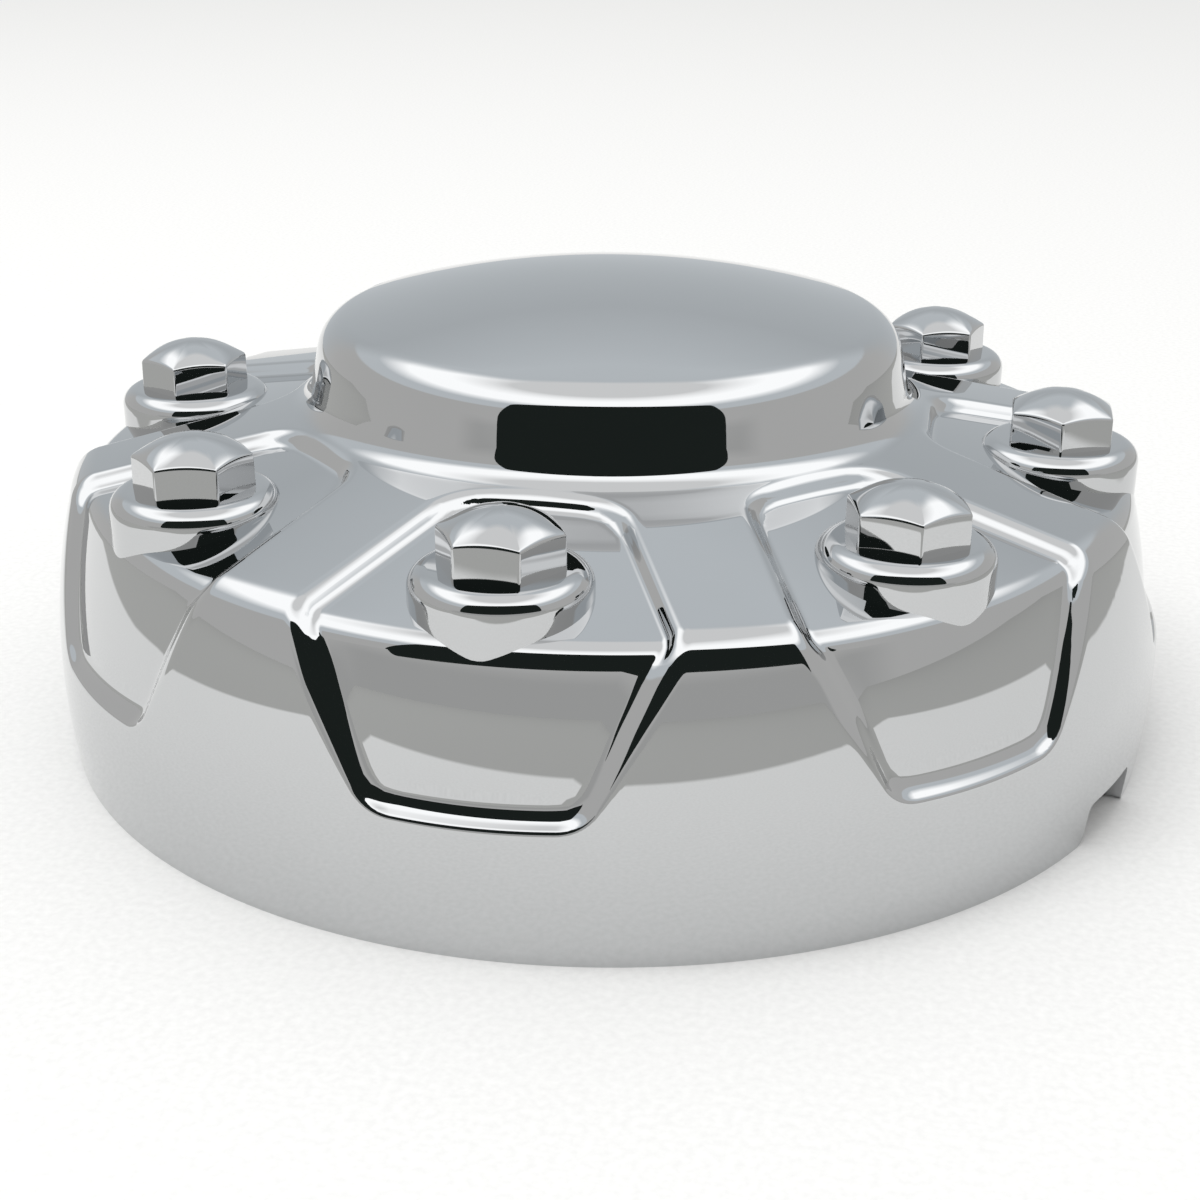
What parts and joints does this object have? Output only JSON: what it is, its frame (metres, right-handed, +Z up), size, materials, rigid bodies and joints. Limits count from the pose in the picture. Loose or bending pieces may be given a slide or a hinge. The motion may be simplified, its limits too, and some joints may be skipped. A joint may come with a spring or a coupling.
{
  "type": "wheel center cap",
  "caption": "Deep round chrome wheel center cap with a domed middle and shield-shaped recessed windows that each hold an imitation lug nut, hollow beneath.",
  "frame": {"origin": "middle of the rim plane that the cap stands on", "axes": "+Z up the axis of the cap from the open rim to the crown, -Y through the first imitation nut"},
  "size_m": [0.2252, 0.2252, 0.0897],
  "materials": {
    "chrome_plating": "bright decorative chrome plating over moulded plastic"
  },
  "bodies": {
    "root": {"center_cap": "chrome_plating"}
  },
  "joints": []
}
